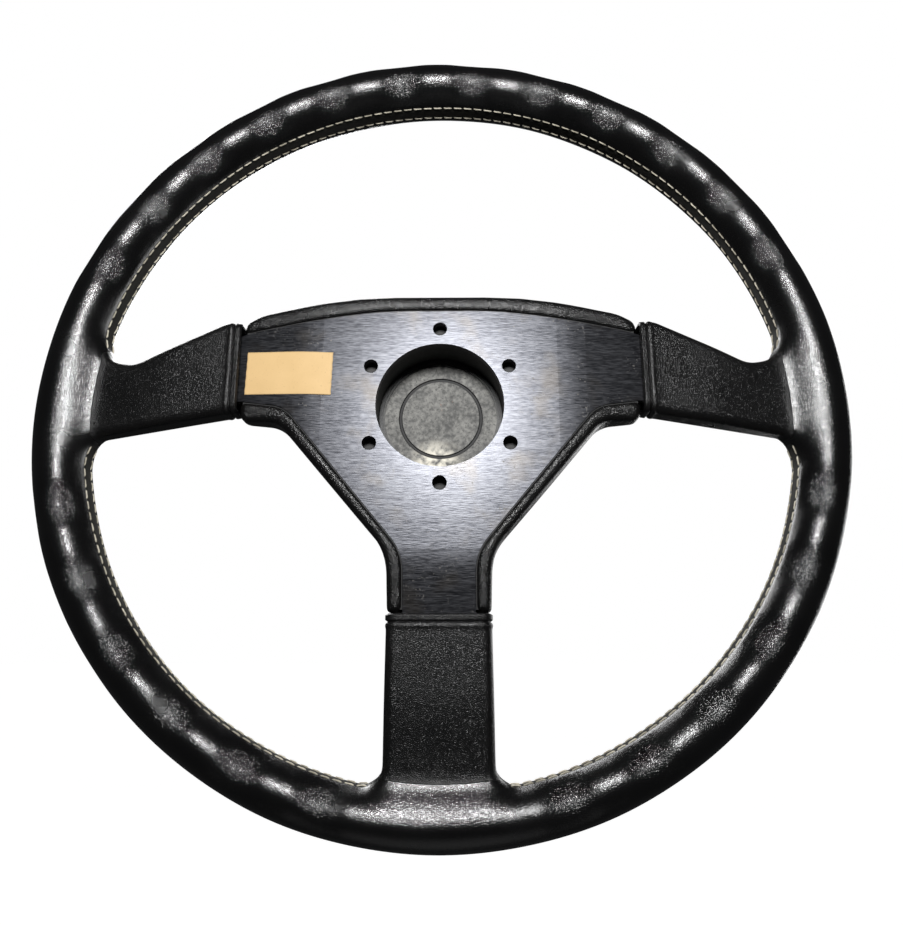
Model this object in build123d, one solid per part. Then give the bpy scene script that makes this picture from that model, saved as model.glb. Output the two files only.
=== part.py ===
from build123d import *
import math
import os

# Three-spoke leather steering wheel, in millimetres.
#
# Frame: the origin is the centre of the hub's mounting face. +Y points at the steering
# column, -Y at the driver, +Z at twelve o'clock and +X to the driver's right.
# "Depth" is measured from the hub's mounting face towards the driver, so Y is minus depth.
# Outlines are drawn as (X, Z) pairs.

# --- Driving dimensions -----------------------------------------------------------------
RIM_OUTER_DIAMETER = 364.0
RIM_HALF_RADIAL = 11.4        # half of the grip's section, across the ring
RIM_HALF_AXIAL = 15.0         # half of the grip's section, along the steering axis
RIM_DEPTH = 15.0              # rim's middle plane, in front of the hub's mounting face
CORE_WIRE_RADIUS = 4.5        # steel ring inside the grip
LEATHER = 1.3

PLATE_THICKNESS = 4.0
BOLT_CIRCLE = 70.0
BOLT_COUNT = 6
BOLT_HOLE_RADIUS = 2.9
BOLT_HOLE_CHAMFER = 0.25
SCREW_OPENING_RADIUS = 4.9    # room for the screws behind each bolt hole
CENTRE_HOLE_RADIUS = 28.0
SIDE_BEND = 58.0              # X of the bend in each side arm
BOTTOM_BEND = 68.0            # minus Z of the bend in the bottom arm
BEND_RADIUS = 120.0
TONGUE_TIP = 162.0            # how far the arms reach from the centre
TONGUE_HALF = 9.0             # half the width of a side arm at its tip
ARM_CENTRE_Z = 6.0            # middle of a side arm where it meets the rim

LUG_THICKNESS = 3.0
LUG_INNER = 147.0
LUG_WIDTH = 24.0
RIVET_OUT = 154.0
RIVET_SPREAD = 5.0
RIVET_SHANK_RADIUS = 2.5
RIVET_HEAD_RADIUS = 4.4
RIVET_HEAD_HEIGHT = 1.6

WRAP_BACK = 4.5               # how far a spoke sleeve stands behind the plate's back
WRAP_FRONT = 10.2             # how far it reaches in front of the plate's back
WRAP_START = 88.3             # where a side sleeve starts, from the centre
WRAP_START_BOTTOM = 89.3

PAD_END = 88.0                # where the pad ends on the side arms
PAD_END_BOTTOM = 89.0
PAD_ROLL_BACK = 0.8           # how far the rolled leather edge stands behind the plate
CARRIER_FLOOR = 2.0
CARRIER_BORE_RADIUS = 28.3
CARRIER_BORE_WALL = 1.7
CARRIER_BORE_DEPTH = 25.2

HORN_TRAVEL = 1.9
HORN_HOUSING_RADIUS = 28.15
HORN_CAVITY_RADIUS = 26.6
HORN_MOUTH_RADIUS = 24.9
HORN_CAP_RADIUS = 24.6
HORN_FRONT = 33.0             # depth of the button's face
HORN_BACK_PLATE = 21.05       # depth of the back plate's visible face
BACK_PLATE_RADIUS = 26.4
GROOVE_RADIUS = 18.5
GROOVE_HALF = 0.75            # half the groove's width at the surface
GROOVE_DEPTH = 0.65
BEZEL_RADIUS = 33.3
BEZEL_FRONT = 29.4
SPRING_RADIUS = 10.0
SPRING_WIRE = 1.2
SPRING_TURNS = 4.0

LABEL_SIZE = (39.0, 20.1)
LABEL_CENTRE = (66.6, 14.75)
LABEL_TURN = 2.0              # degrees, stuck on a little askew
LABEL_THICKNESS = 0.15

GAP = 0.05                    # seating gap between bonded pieces
LOOSE = 0.2                   # gap round the plate's edge
REACH = 200.0                 # longer than the wheel's radius, for cutting solids

# --- Worked-out sizes -------------------------------------------------------------------
RIM_RADIUS = RIM_OUTER_DIAMETER / 2 - RIM_HALF_RADIAL
CORE_INNER = RIM_RADIUS - CORE_WIRE_RADIUS
ARM_DROP = RIM_DEPTH - (PLATE_THICKNESS + LUG_THICKNESS) / 2
SIDE_SLOPE = ARM_DROP / (CORE_INNER - SIDE_BEND)
BOTTOM_SLOPE = ARM_DROP / (CORE_INNER - BOTTOM_BEND)
ARM_SEAM_ANGLE = math.degrees(math.asin(ARM_CENTRE_Z / RIM_RADIUS))
SPLIT_Z = -(SIDE_BEND + BOTTOM_BEND) / 2
RIM_AXIS = Axis((0, 0, 0), (0, -1, 0))


# --- Solids that follow the bent plate ---------------------------------------------------
def bent_profile(bend_at, slope, near, far):
    """Side view of a sheet bent at +-bend_at, between two depths below the plate's back."""
    drop = slope * (REACH - bend_at)
    half_back = [(-REACH, -drop - near), (-bend_at, -near), (bend_at, -near), (REACH, -drop - near)]
    half_front = [(REACH, -drop - far), (bend_at, -far), (-bend_at, -far), (-REACH, -drop - far)]
    profile = make_face(Polyline(half_back + half_front, close=True))
    bends = [v for v in profile.vertices() if abs(v.X) < REACH - 1]
    return fillet(bends, BEND_RADIUS)


def column(outline):
    """Straight prism along Y through an outline drawn as (X, Z)."""
    return extrude(Plane.XZ * outline, amount=REACH, both=True)


def bent_sheet(near, far):
    """Endless sheet with the plate's bends, between two depths below the plate's back."""
    across = extrude(bent_profile(SIDE_BEND, SIDE_SLOPE, near, far), amount=REACH, both=True)
    down_plane = Plane(origin=(0, 0, 0), x_dir=(0, 0, 1), z_dir=(-1, 0, 0))
    down_profile = down_plane * bent_profile(BOTTOM_BEND, BOTTOM_SLOPE, near, far)
    down = extrude(down_profile, amount=REACH, both=True)
    half_space = Box(2 * REACH, 2 * REACH, 2 * REACH)
    upper = across & (Pos(0, 0, SPLIT_Z + REACH) * half_space)
    lower = down & (Pos(0, 0, SPLIT_Z - REACH) * half_space)
    return upper + lower


def bent_slab(outline, near, far):
    """The part of an outline that lies between two depths below the plate's back face."""
    return column(outline) & bent_sheet(near, far)


def tube(outer, inner, depth_back, depth_front):
    """Round tube or disc about the steering axis between two depths."""
    ring = Circle(outer) - Circle(inner) if inner else Circle(outer)
    return extrude(Plane.XZ.offset(depth_back) * ring, amount=depth_front - depth_back)


def turned(points):
    """Solid of revolution about the steering axis from (radius, depth) points."""
    outline = make_face(Polyline([(radius, -depth) for radius, depth in points], close=True))
    return revolve(outline, Axis.Y)


# --- Outlines ---------------------------------------------------------------------------
def moved_edge(start, end, inset):
    """A straight edge of a clockwise outline, moved inwards: a point on it and its direction."""
    direction = (Vector(*end) - Vector(*start)).normalized()
    inward = Vector(direction.Y, -direction.X)
    return Vector(*start) + inward * inset, direction


def crossing(first, second):
    """Where two lines meet, each given as a point and a direction."""
    (p, d), (q, e) = first, second
    along = ((q - p).X * e.Y - (q - p).Y * e.X) / (d.X * e.Y - d.Y * e.X)
    met = p + d * along
    return (met.X, met.Y)


def rounded_outline(corners, radii, inset):
    """Face inside a clockwise polygon with rounded corners, drawn smaller by an inset."""
    count = len(corners)
    edges = [moved_edge(corners[i - 1], corners[i], inset) for i in range(count)]
    places = []
    rounds = []
    for i in range(count):
        before, after = edges[i], edges[(i + 1) % count]
        places.append(crossing(before, after))
        turns_right = before[1].X * after[1].Y - before[1].Y * after[1].X < 0
        rounds.append(max(0.2, radii[i] - inset if turns_right else radii[i] + inset))
    return make_face(FilletPolyline(*places, radius=rounds, close=True))


def symmetric_outline(right_half, radii, inset):
    """The same, from the right half's corners, listed from top to bottom."""
    left_half = [(-x, z) for x, z in reversed(right_half)]
    return rounded_outline(right_half + left_half, radii + radii[::-1], inset)


def plate_outline(inset=0):
    corners = [
        (28, 43.5),
        (88, 34.0),
        (125, 18),
        (TONGUE_TIP, ARM_CENTRE_Z + TONGUE_HALF),
        (TONGUE_TIP, ARM_CENTRE_Z - TONGUE_HALF),
        (88, 2.5),
        (68, -0.5),
        (15, -64.5),
        (15, -TONGUE_TIP),
    ]
    return symmetric_outline(corners, [180, 60, 40, 3, 3, 20, 15, 22, 3], inset)


def pad_outline(inset=0):
    corners = [
        (36, 51),
        (80, 43.6),
        (PAD_END, 39.6),
        (PAD_END, -6.5),
        (70.9, -7.0),
        (22.2, -63.9),
        (21.6, -PAD_END_BOTTOM),
    ]
    return symmetric_outline(corners, [180, 20, 5, 4, 12, 25, 2], inset)


def side_wrap_outline(inset=0):
    """Sleeve round the driver's right-hand arm, flaring where it meets the rim."""
    corners = [
        (WRAP_START, 38.2),
        (95, 39.2),
        (138, 21.4),
        (150, 24),
        (162, 38),
        (162, -17),
        (152, -11.5),
        (112, -6.0),
        (WRAP_START, -2.8),
    ]
    return rounded_outline(corners, [1.5, 9, 14, 16, 3, 3, 8, 90, 1.5], inset)


def bottom_wrap_outline(inset=0):
    corners = [(21.4, -WRAP_START_BOTTOM), (22.6, -151), (30, -163)]
    return symmetric_outline(corners, [1.5, 10, 2], inset)


def side_lug_outline():
    blank = Pos((LUG_INNER + RIM_RADIUS) / 2, ARM_CENTRE_Z) * Rectangle(RIM_RADIUS - LUG_INNER, LUG_WIDTH)
    return blank & Circle(RIM_RADIUS)


def bottom_lug_outline():
    blank = Pos(0, -(LUG_INNER + RIM_RADIUS) / 2) * Rectangle(LUG_WIDTH, RIM_RADIUS - LUG_INNER)
    return blank & Circle(RIM_RADIUS)


# --- Ring pieces ------------------------------------------------------------------------
def ring_section(inset):
    """The grip's elliptical section, drawn smaller by an inset."""
    section = Ellipse(RIM_HALF_RADIAL - inset, RIM_HALF_AXIAL - inset)
    return Pos(RIM_RADIUS, -RIM_DEPTH) * section


def full_ring(section):
    """Whole ring, with its seam between two spokes."""
    return Rot(0, -45, 0) * revolve(section, Axis.Y)


def ring_arc(section, start, end):
    """Part of a ring from one angle to another, counted from +X towards +Z."""
    return Rot(0, -start, 0) * revolve(section, RIM_AXIS, revolution_arc=end - start)


def core_wire(extra):
    return full_ring(Pos(RIM_RADIUS, -RIM_DEPTH) * Circle(CORE_WIRE_RADIUS + extra))


# --- Rivets -----------------------------------------------------------------------------
def rivet_places():
    """Planes on the plate's back face, one for each rivet, with z along the rivet."""
    side_y = -SIDE_SLOPE * (RIVET_OUT - SIDE_BEND)
    bottom_y = -BOTTOM_SLOPE * (RIVET_OUT - BOTTOM_BEND)
    places = []
    for spread in (-RIVET_SPREAD, RIVET_SPREAD):
        for side in (1, -1):
            seat = (side * RIVET_OUT, side_y, ARM_CENTRE_Z + spread)
            places.append(Plane(origin=seat, z_dir=(side * SIDE_SLOPE, 1, 0)))
        seat = (spread, bottom_y, -RIVET_OUT)
        places.append(Plane(origin=seat, z_dir=(0, 1, -BOTTOM_SLOPE)))
    return places


def rivet_stack(shank_radius, head_radius, head_height):
    """Shank through plate and lug with a head on each side, all six rivets."""
    grip = PLATE_THICKNESS + LUG_THICKNESS + GAP
    shank_length = grip + 2 * head_height
    shank = Pos(0, 0, -grip / 2) * Cylinder(shank_radius, shank_length)
    heads = Pos(0, 0, head_height / 2 + GAP) * Cylinder(head_radius, head_height)
    heads += Pos(0, 0, -grip - head_height / 2 - GAP) * Cylinder(head_radius, head_height)
    one = shank + heads
    return [place.location * one for place in rivet_places()]


def minus_all(body, cutters):
    for cutter in cutters:
        body = body - cutter
    return body


# --- Horn push --------------------------------------------------------------------------
def horn_housing():
    inside = HORN_CAVITY_RADIUS
    return turned([
        (HORN_HOUSING_RADIUS, 19.4),
        (inside, 19.4),
        (inside, 20.15),
        (27.2, 20.15),
        (27.2, 21.0),
        (inside, 21.0),
        (inside, 23.05),
        (25.2, 23.05),
        (25.2, 24.0),
        (inside, 24.0),
        (inside, 27.7),
        (HORN_MOUTH_RADIUS, 27.7),
        (HORN_MOUTH_RADIUS, 28.9),
        (HORN_HOUSING_RADIUS, 28.9),
    ])


def horn_button_cap():
    cap = turned([
        (0, 31.2),
        (17, 31.2),
        (17, 26.25),
        (21, 26.25),
        (21, 30.4),
        (22.8, 30.4),
        (22.8, 25.4),
        (HORN_CAP_RADIUS, 25.4),
        (HORN_CAP_RADIUS, 26.2),
        (26.2, 26.2),
        (26.2, 27.6),
        (HORN_CAP_RADIUS, 27.6),
        (HORN_CAP_RADIUS, 31.2),
        (22.6, 32.8),
        (18.9, 33.0),
        (18.9, 32.2),
        (0, 32.2),
    ])
    return cap


def horn_spring():
    length = 31.2 - 23.0 - 2 * GAP - SPRING_WIRE
    pitch = length / SPRING_TURNS
    path = Helix(pitch=pitch, height=length, radius=SPRING_RADIUS)
    start = Plane(origin=path @ 0, z_dir=path % 0)
    coil = sweep(start * Circle(SPRING_WIRE / 2), path=path)
    first = 23.0 + GAP + SPRING_WIRE / 2
    return Plane.XZ.offset(first).location * coil


def retaining_ring():
    ring = tube(27.1, 25.7, 20.25, 20.95)
    opening = Pos(0, -20.6, 27) * Box(7, 3, 6)
    return ring - opening


def horn_back_plate():
    back = HORN_BACK_PLATE
    return turned([
        (0, back),
        (GROOVE_RADIUS - GROOVE_HALF, back),
        (GROOVE_RADIUS - GROOVE_HALF + 0.3, back + GROOVE_DEPTH),
        (GROOVE_RADIUS + GROOVE_HALF - 0.3, back + GROOVE_DEPTH),
        (GROOVE_RADIUS + GROOVE_HALF, back),
        (BACK_PLATE_RADIUS, back),
        (BACK_PLATE_RADIUS, back + 1.0),
        (0, back + 1.0),
    ])


# --- Pad --------------------------------------------------------------------------------
def pad_front_limit():
    """Everything behind the pad's crowned driver-side surface."""
    across_face = Spline((-95, -13.4), (-62, -22.6), (-34, -26.8), (0, -27.2),
                         (34, -26.8), (62, -22.6), (95, -13.4))
    across_box = Polyline((95, -13.4), (95, 20), (-95, 20), (-95, -13.4))
    across = extrude(make_face([across_face, across_box]), amount=REACH, both=True)
    down_plane = Plane(origin=(0, 0, 0), x_dir=(0, 0, 1), z_dir=(-1, 0, 0))
    down_face = Spline((-95, -14.2), (-60, -21.6), (-34, -26.6), (0, -27.2), (34, -26.2), (56, -19))
    down_box = Polyline((56, -19), (56, 20), (-95, 20), (-95, -14.2))
    down = extrude(down_plane * make_face([down_face, down_box]), amount=REACH, both=True)
    return across & down


def pad_body(inset, near):
    """The pad's outer form, drawn smaller by an inset, from a depth below the plate's back."""
    limit = Pos(0, inset, 0) * pad_front_limit()
    return bent_slab(pad_outline(inset), near, 60) & limit


# --- Assembly ---------------------------------------------------------------------------
def bolt_places():
    """Where the bolt holes are, with z along each bolt."""
    circle = PolarLocations(BOLT_CIRCLE / 2, BOLT_COUNT, start_angle=90)
    return [Plane.XZ.location * place for place in circle]


def screw_openings():
    """Room for the screws' ends, through the floor of the pad's tray."""
    opening = extrude(Circle(SCREW_OPENING_RADIUS), amount=PLATE_THICKNESS + CARRIER_FLOOR + 1)
    return [centre * opening for centre in bolt_places()]


def build_spoke_plate(rivet_holes):
    plate = bent_slab(plate_outline(), 0, PLATE_THICKNESS)
    plate -= tube(CENTRE_HOLE_RADIUS, 0, -5, 10)
    for centre in bolt_places():
        plate -= centre * Cylinder(BOLT_HOLE_RADIUS, 20)
        sink = Cone(BOLT_HOLE_RADIUS, BOLT_HOLE_RADIUS + 2 * BOLT_HOLE_CHAMFER, 2 * BOLT_HOLE_CHAMFER)
        plate -= centre * Rot(180, 0, 0) * sink
    return minus_all(plate, rivet_holes)


def build_rim(plate, lugs):
    foam = full_ring(ring_section(LEATHER + GAP)) - core_wire(GAP)
    foam = minus_all(foam, [plate] + list(lugs.values()))
    skin = ring_section(0) - ring_section(LEATHER)
    side = ARM_SEAM_ANGLE
    seam = 0.03
    panels = {
        "rim_leather_upper": ring_arc(skin, side + seam, 180 - side - seam),
        "rim_leather_lower_left": ring_arc(skin, 180 - side + seam, 270 - seam),
        "rim_leather_lower_right": ring_arc(skin, -90 + seam, side - seam),
    }
    side_slot = Pos(155, ARM_CENTRE_Z) * Rectangle(30, LUG_WIDTH + 1)
    bottom_slot = Pos(0, -155) * Rectangle(LUG_WIDTH + 9, 30)
    slots = []
    for outline in (side_slot, mirror(side_slot, Plane.YZ), bottom_slot):
        slots.append(bent_slab(outline, -0.5, PLATE_THICKNESS + LUG_THICKNESS + 0.5))
    for name in panels:
        panels[name] = minus_all(panels[name], slots)
    return foam, panels


def build_spoke_covers(plate, lugs, rivet_pockets):
    rim_body = full_ring(ring_section(-GAP))
    covers = {}
    for side in lugs:
        inner = bent_slab(wrap_outline(side, LEATHER), -WRAP_BACK + LEATHER, WRAP_FRONT - LEATHER)
        outer = bent_slab(wrap_outline(side, 0), -WRAP_BACK, WRAP_FRONT)
        covers["spoke_foam_" + side] = minus_all(inner, [rim_body, plate, lugs[side]] + rivet_pockets)
        open_end = bent_slab(wrap_mouth(side), -WRAP_BACK + LEATHER, WRAP_FRONT - LEATHER)
        covers["spoke_leather_" + side] = minus_all(outer, [inner, rim_body, open_end])
    return covers


def wrap_outline(side, inset):
    if side == "bottom":
        return bottom_wrap_outline(inset)
    outline = side_wrap_outline(inset)
    return outline if side == "right" else mirror(outline, Plane.YZ)


def wrap_mouth(side):
    """The sleeve's open end at the hub."""
    if side == "bottom":
        return Pos(0, -WRAP_START_BOTTOM) * Rectangle(2 * (21.4 - LEATHER), 6)
    mouth = Pos(WRAP_START, (38.2 - 2.8) / 2) * Rectangle(6, 38.2 + 2.8 - 2 * LEATHER)
    return mouth if side == "right" else mirror(mouth, Plane.YZ)


def build_pad(plate_space):
    bore = CARRIER_BORE_RADIUS + CARRIER_BORE_WALL
    leather = pad_body(0, -PAD_ROLL_BACK) - pad_body(LEATHER, PAD_ROLL_BACK - 0.35)
    leather = leather - plate_space - tube(bore + 0.2, 0, -10, 60)
    foam = pad_body(LEATHER + GAP, PLATE_THICKNESS + CARRIER_FLOOR + 2 * GAP)
    foam = foam - tube(bore + 0.1, 0, -10, 60)
    tray_outline = pad_outline(LEATHER + GAP)
    tray = bent_slab(tray_outline, 0.5, PLATE_THICKNESS + CARRIER_FLOOR + GAP) - plate_space
    tray = tray + tube(bore, CARRIER_BORE_RADIUS, PLATE_THICKNESS + GAP, CARRIER_BORE_DEPTH)
    tray = minus_all(tray - tube(CARRIER_BORE_RADIUS, 0, -10, 60), screw_openings())
    return {"pad_leather": leather, "pad_foam": foam, "pad_carrier": tray}


def build_horn():
    bezel = tube(BEZEL_RADIUS, HORN_HOUSING_RADIUS + 0.1, CARRIER_BORE_DEPTH + 0.1, BEZEL_FRONT)
    front_edges = bezel.edges().filter_by(GeomType.CIRCLE).group_by(Axis.Y)[0]
    bezel = fillet(front_edges, 0.8) - (Pos(0, -GAP, 0) * pad_body(0, 0))
    pocket = tube(CARRIER_BORE_RADIUS + CARRIER_BORE_WALL + 0.2, 0, 24, 60)
    neck = tube(CARRIER_BORE_RADIUS + CARRIER_BORE_WALL + 0.1, HORN_HOUSING_RADIUS + 0.1,
                CARRIER_BORE_DEPTH + 0.1, BEZEL_FRONT - 1)
    bezel = bezel + (neck & pocket)
    return {
        "horn_housing": horn_housing(),
        "horn_bezel": bezel,
        "horn_button_cap": horn_button_cap(),
        "horn_button_insert": tube(18.7, 0, 32.25, HORN_FRONT),
        "horn_spring": horn_spring(),
        "moving_contact": tube(20.8, 17.2, 25.6, 26.2),
        "fixed_contact": tube(20.8, 17.2, 23.0 + GAP, 23.6),
        "contact_insulator": tube(BACK_PLATE_RADIUS, 8, HORN_BACK_PLATE + 1.0 + GAP, 23.0),
        "horn_back_plate": horn_back_plate(),
        "retaining_ring": retaining_ring(),
    }


def build_wheel():
    rivet_holes = rivet_stack(RIVET_SHANK_RADIUS + 0.1, RIVET_SHANK_RADIUS + 0.1, RIVET_HEAD_HEIGHT)
    rivet_pockets = rivet_stack(RIVET_SHANK_RADIUS + 0.2, RIVET_HEAD_RADIUS + 0.2, RIVET_HEAD_HEIGHT + 0.2)
    plate = build_spoke_plate(rivet_holes)

    side_lug = bent_slab(side_lug_outline(), PLATE_THICKNESS + GAP, PLATE_THICKNESS + GAP + LUG_THICKNESS)
    bottom_lug = bent_slab(bottom_lug_outline(), PLATE_THICKNESS + GAP, PLATE_THICKNESS + GAP + LUG_THICKNESS)
    lug_cutters = [core_wire(GAP)] + rivet_holes
    lugs = {
        "right": minus_all(side_lug, lug_cutters),
        "left": minus_all(mirror(side_lug, Plane.YZ), lug_cutters),
        "bottom": minus_all(bottom_lug, lug_cutters),
    }

    foam, panels = build_rim(plate, lugs)
    plate_space = bent_slab(plate_outline(-LOOSE), -10, PLATE_THICKNESS + GAP)
    label = Pos(*LABEL_CENTRE) * Rot(0, 0, LABEL_TURN) * Rectangle(*LABEL_SIZE)

    nodes = {"spoke_plate": plate, "rim_core": core_wire(0), "rim_foam": foam}
    for side, lug in lugs.items():
        nodes["rim_lug_" + side] = lug
    nodes["spoke_rivets"] = Compound(children=rivet_stack(RIVET_SHANK_RADIUS, RIVET_HEAD_RADIUS, RIVET_HEAD_HEIGHT))
    nodes.update(panels)
    nodes.update(build_spoke_covers(plate, lugs, rivet_pockets))
    nodes.update(build_pad(plate_space))
    nodes.update(build_horn())
    nodes["stock_label"] = bent_slab(label, -LABEL_THICKNESS - 0.02, -0.02)
    return nodes


os.makedirs("parts", exist_ok=True)
for node, shape in build_wheel().items():
    export_step(shape, f"parts/{node}.step")
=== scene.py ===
import math

import bmesh
import bpy
import numpy as np
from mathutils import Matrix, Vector


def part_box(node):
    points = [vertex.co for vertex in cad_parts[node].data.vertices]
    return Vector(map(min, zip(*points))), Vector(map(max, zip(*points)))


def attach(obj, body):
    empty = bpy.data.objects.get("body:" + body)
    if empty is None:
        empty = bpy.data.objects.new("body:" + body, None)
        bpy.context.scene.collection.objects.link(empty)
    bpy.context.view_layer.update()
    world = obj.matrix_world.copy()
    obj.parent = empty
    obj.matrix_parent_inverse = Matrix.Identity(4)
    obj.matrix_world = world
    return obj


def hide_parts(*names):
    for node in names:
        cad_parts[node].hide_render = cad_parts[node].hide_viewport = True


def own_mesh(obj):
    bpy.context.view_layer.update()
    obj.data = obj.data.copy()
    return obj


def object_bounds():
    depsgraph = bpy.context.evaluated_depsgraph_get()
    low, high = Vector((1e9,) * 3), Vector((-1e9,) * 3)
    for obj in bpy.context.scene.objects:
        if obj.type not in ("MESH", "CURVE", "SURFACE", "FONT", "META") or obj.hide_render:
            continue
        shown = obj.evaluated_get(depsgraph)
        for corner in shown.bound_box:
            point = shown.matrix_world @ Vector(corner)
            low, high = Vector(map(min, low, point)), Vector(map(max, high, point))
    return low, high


# Looks of a three-spoke leather steering wheel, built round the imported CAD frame.
# Shapes are worked out in millimetres and written to Blender in metres.
# +Y is the column side, +Z twelve o'clock and +X the driver's right.

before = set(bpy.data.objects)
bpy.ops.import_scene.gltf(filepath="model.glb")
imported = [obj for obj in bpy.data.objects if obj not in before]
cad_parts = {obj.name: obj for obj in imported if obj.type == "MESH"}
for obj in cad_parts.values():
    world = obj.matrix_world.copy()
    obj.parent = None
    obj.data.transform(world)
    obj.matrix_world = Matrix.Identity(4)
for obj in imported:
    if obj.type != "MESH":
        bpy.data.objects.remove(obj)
cad_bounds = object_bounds()

MM = 0.001
TAU = 2 * math.pi
DEGREE = math.radians(1)


def box_mm(node):
    low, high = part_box(node)
    return np.array(low) / MM, np.array(high) / MM


# --- Sizes read from the frame ---
core_low, core_high = box_mm("rim_core")
upper_low, upper_high = box_mm("rim_leather_upper")
sleeve_low, sleeve_high = box_mm("spoke_leather_right")
_, bottom_high = box_mm("spoke_leather_bottom")
roll_low, roll_high = box_mm("pad_leather")
plate_low, plate_high = box_mm("spoke_plate")
cap_low, cap_high = box_mm("horn_button_cap")
insert_low, insert_high = box_mm("horn_button_insert")
bezel_low, bezel_high = box_mm("horn_bezel")
_, housing_high = box_mm("horn_housing")
_, disc_high = box_mm("horn_back_plate")
spring_low, spring_high = box_mm("horn_spring")
label_low, label_high = box_mm("stock_label")

CORE_WIRE = (core_high[1] - core_low[1]) / 2
RIM_RADIUS = core_high[0] - CORE_WIRE
RIM_Y = (core_high[1] + core_low[1]) / 2
HALF_RADIAL = cad_bounds[1].z / MM - RIM_RADIUS
HALF_AXIAL = (upper_high[1] - upper_low[1]) / 2

# --- Driving values of the looks ---
LEATHER = 1.3                # thickness of the grip's leather
SIDE_BEND = 58.0             # X of the plate's bend
BOTTOM_BEND = 68.0           # minus Z of the bend in the bottom arm
BEND_REACH = 6.5             # half the length of a bend's arc
PLATE = 4.0                  # thickness of the spoke plate
LUG = 3.0                    # thickness of the ring's lugs under the plate

DIP_PITCH = 11.8 * DEGREE    # finger dips, counted round the ring
DIP_DEPTH = 2.1
GRIP_SLACK = 0.17            # how far the grip's surface lies inside its CAD section
DIP_CENTRE = 116 * DEGREE    # round the grip's section, from the outside over the back
DIP_REACH_OUT = 100 * DEGREE
DIP_REACH_IN = 60 * DEGREE
DIP_PHASE = -0.8 * DEGREE    # the dips sit a little off the spokes' centre line
DIPS_EACH_SIDE = 6
FIRST_BOTTOM_DIP = 16.8 * DEGREE

# Angle ranges of the grip's inner side that lie between spokes, where its leather is sewn.
SEAM_WINDOWS = {
    "upper": (11.4 * DEGREE, 169.0 * DEGREE),
    "lower_left": (185.5 * DEGREE, 259.8 * DEGREE),
    "lower_right": (280.3 * DEGREE, 354.7 * DEGREE),
}
SEAM_CENTRE = 183.8 * DEGREE
SEAM_ROW = 3.75              # from the seam's middle to a stitch row
SEAM_RECESS = 0.3
STITCH_PITCH = 5.0
STITCH_LENGTH = 4.3
STITCH_SLANT = 0.16
END_STITCHES = 3             # stitches across each end of a seam
THREAD_RADIUS = 0.33

GRIP_STEP = 0.36 * DEGREE    # between rings of the grip's leather
OPENING_DEPTH = 5.0          # how far inside an arm the grip's leather is cut open
FLARE = 7.5                  # how far the grip's leather runs in along an arm
SLEEVE_END = 155.2           # radius where a sleeve meets the grip's leather
SLEEVE_EDGE = 4.2            # rounding of the sleeves' long edges
SLEEVE_FRONT = 10.2          # how far a sleeve reaches in front of the plate's back
SLEEVE_MELT = 3.6            # how softly an arm runs into the grip
ARM_SINK = 2.4               # how far an arm's back drops before it meets the grip
TUCK = 0.7                   # how far the grip's leather goes under a sleeve's end
HEM = 3.3                    # width of the folded edge at the hub

GROOVE_RADIUS = 18.5         # ring groove in the horn push's back plate, darkened with painted shade
BUTTON_RADIUS = 24.6         # outside of the horn push's shell
BUTTON_FLANGE = 26.1         # its flange, which the bezel holds back
AXIS_GAP = 0.02              # radius at which turned profiles stop short of the axis
BEZEL_FOOT = -26.2           # Y of the bezel's foot, on the pad's face
BEZEL_COLLAR = (30.3, 31.0)  # inside and outside of the collar behind the foot
SPRING_WIRE = 1.2
SPRING_TURNS = 4.0
PAD_BORE = 30.2              # radius of the opening for the bezel
PAD_DEPTH = 27.9             # from the hub's mounting plane to the pad's crown
TRAY_FRONT = 6.1             # front of the pad's tray, below the plate's back face
LABEL = (38.6, 19.8)         # length and width of the paper label
LABEL_TURN = 2.0 * DEGREE


# --- Small geometry helpers ---
def unit(vector):
    return vector / np.linalg.norm(vector)


def smooth_step(value, start, end):
    t = np.clip((value - start) / (end - start), 0, 1)
    return t * t * (3 - 2 * t)


def bump_shape(value, centre, reach):
    """1 at the centre, 0 beyond the reach, round in between."""
    t = np.clip(np.abs(value - centre) / reach, 0, 1)
    return np.cos(t * math.pi / 2) ** 2


def rounded_polygon(corners, radii, step=7 * DEGREE):
    """Points along a closed polygon whose corners are arcs."""
    points = []
    count = len(corners)
    for i in range(count):
        before, here, after = (np.array(corners[k % count], float) for k in (i - 1, i, i + 1))
        came, goes = unit(here - before), unit(after - here)
        turn = math.atan2(came[0] * goes[1] - came[1] * goes[0], came @ goes)
        side = math.copysign(1, turn)
        start = here - came * radii[i] * math.tan(abs(turn) / 2)
        centre = start + side * radii[i] * np.array([-came[1], came[0]])
        steps = max(2, math.ceil(abs(turn) / step))
        first = math.atan2(*(start - centre)[::-1])
        for k in range(steps + 1):
            angle = first + turn * k / steps
            points.append(centre + radii[i] * np.array([math.cos(angle), math.sin(angle)]))
    return np.array(points)


def mirrored(corners, radii):
    """A closed outline from its right half, listed from top to bottom."""
    return corners + [(-x, z) for x, z in reversed(corners)], radii + radii[::-1]


def edges_of(outline):
    return zip(outline, np.roll(outline, -1, axis=0))


def outline_distance(x, z, outline):
    """Distance to a closed outline, negative inside."""
    nearest = np.full(x.shape, 1e9)
    inside = np.zeros(x.shape, bool)
    for (ax, az), (bx, bz) in edges_of(outline):
        ex, ez = bx - ax, bz - az
        t = np.clip(((x - ax) * ex + (z - az) * ez) / (ex * ex + ez * ez + 1e-12), 0, 1)
        nearest = np.minimum(nearest, (x - ax - t * ex) ** 2 + (z - az - t * ez) ** 2)
        if az != bz:
            crosses = (az > z) != (bz > z)
            inside ^= crosses & (x < ax + (z - az) * ex / ez)
    distance = np.sqrt(nearest)
    return np.where(inside, -distance, distance)


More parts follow.
